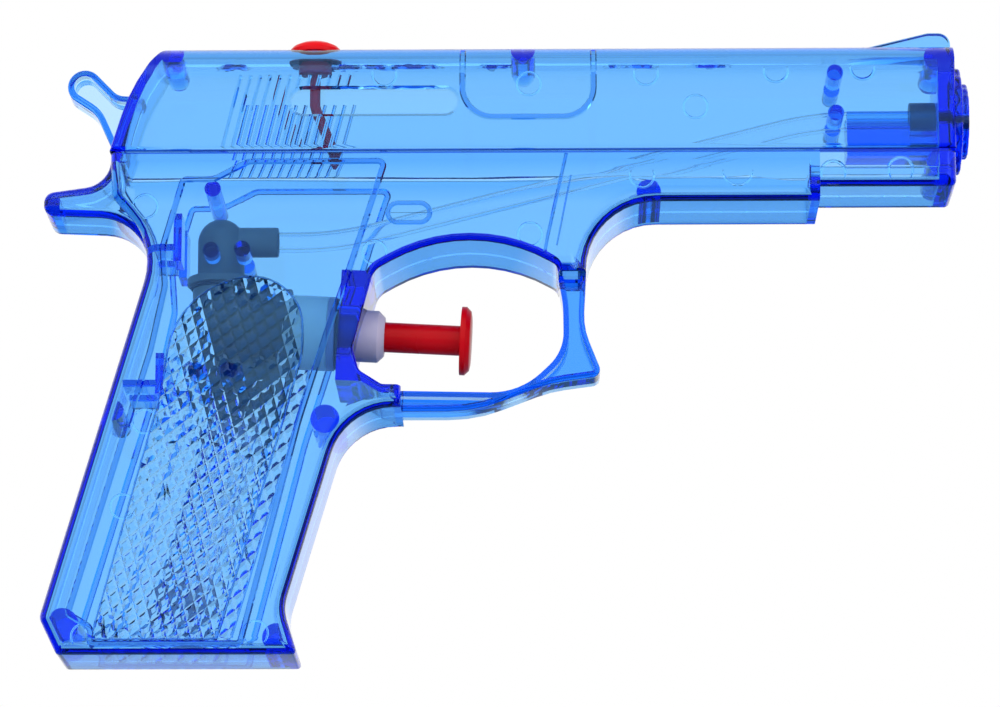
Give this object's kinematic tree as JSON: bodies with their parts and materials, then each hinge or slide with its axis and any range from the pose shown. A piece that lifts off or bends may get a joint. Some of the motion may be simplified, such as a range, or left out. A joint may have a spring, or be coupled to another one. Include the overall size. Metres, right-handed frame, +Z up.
{
  "type": "toy water pistol",
  "caption": "Clear blue toy water pistol in two welded half shells, with a trigger pump, ball valves, tubes and a filler plug.",
  "frame": {"origin": "centre of the nozzle's mouth, on the jet axis and on the parting plane of the half shells", "axes": "+X the way the jet leaves, +Z up as it is held, +Y to the left side"},
  "size_m": [0.1818, 0.024, 0.1257],
  "materials": {
    "clear_blue": "polished clear blue moulding",
    "clear_tube": "clear soft vinyl tube",
    "red": "glossy red moulding",
    "milky": "milky white moulding",
    "grey": "dark grey satin moulding",
    "navy": "dark navy satin moulding",
    "black_rubber": "soft black rubber",
    "spring_wire": "drawn stainless wire",
    "steel_ball": "polished steel ball"
  },
  "bodies": {
    "body": {"right_shell": "clear_blue", "left_shell": "clear_blue", "nozzle_insert": "navy", "delivery_tube": "clear_tube", "valve_cap": "grey", "valve_gasket": "black_rubber", "valve_body": "grey", "inlet_seat": "milky", "suction_tube": "clear_tube", "strainer": "milky", "pump_cylinder": "milky", "pump_nose": "milky", "nose_gasket": "black_rubber", "return_spring": "spring_wire"},
    "trigger": {"trigger": "red", "piston": "milky", "piston_ring": "black_rubber"},
    "inlet_ball": {"inlet_ball": "steel_ball"},
    "outlet_ball": {"outlet_ball": "steel_ball"},
    "plug": {"filler_plug": "red"}
  },
  "joints": [
    {"name": "trigger_pull", "type": "slide", "parent": "body", "child": "trigger", "axis": [-0.9986, 0, 0.0523], "range_m": [0, 0.0115], "stiffness_N_per_m": 350, "springref_m": -0.006, "deforming": ["return_spring"]},
    {"name": "inlet_ball_lift", "type": "slide", "parent": "body", "child": "inlet_ball", "axis": [0.2756, 0, 0.9613], "range_m": [0, 0.001]},
    {"name": "outlet_ball_lift", "type": "slide", "parent": "body", "child": "outlet_ball", "axis": [0, 0, 1], "range_m": [0, 0.001]},
    {"name": "plug_pull", "type": "slide", "parent": "body", "child": "plug", "axis": [0, 0, 1], "range_m": [0, 0.008]}
  ]
}
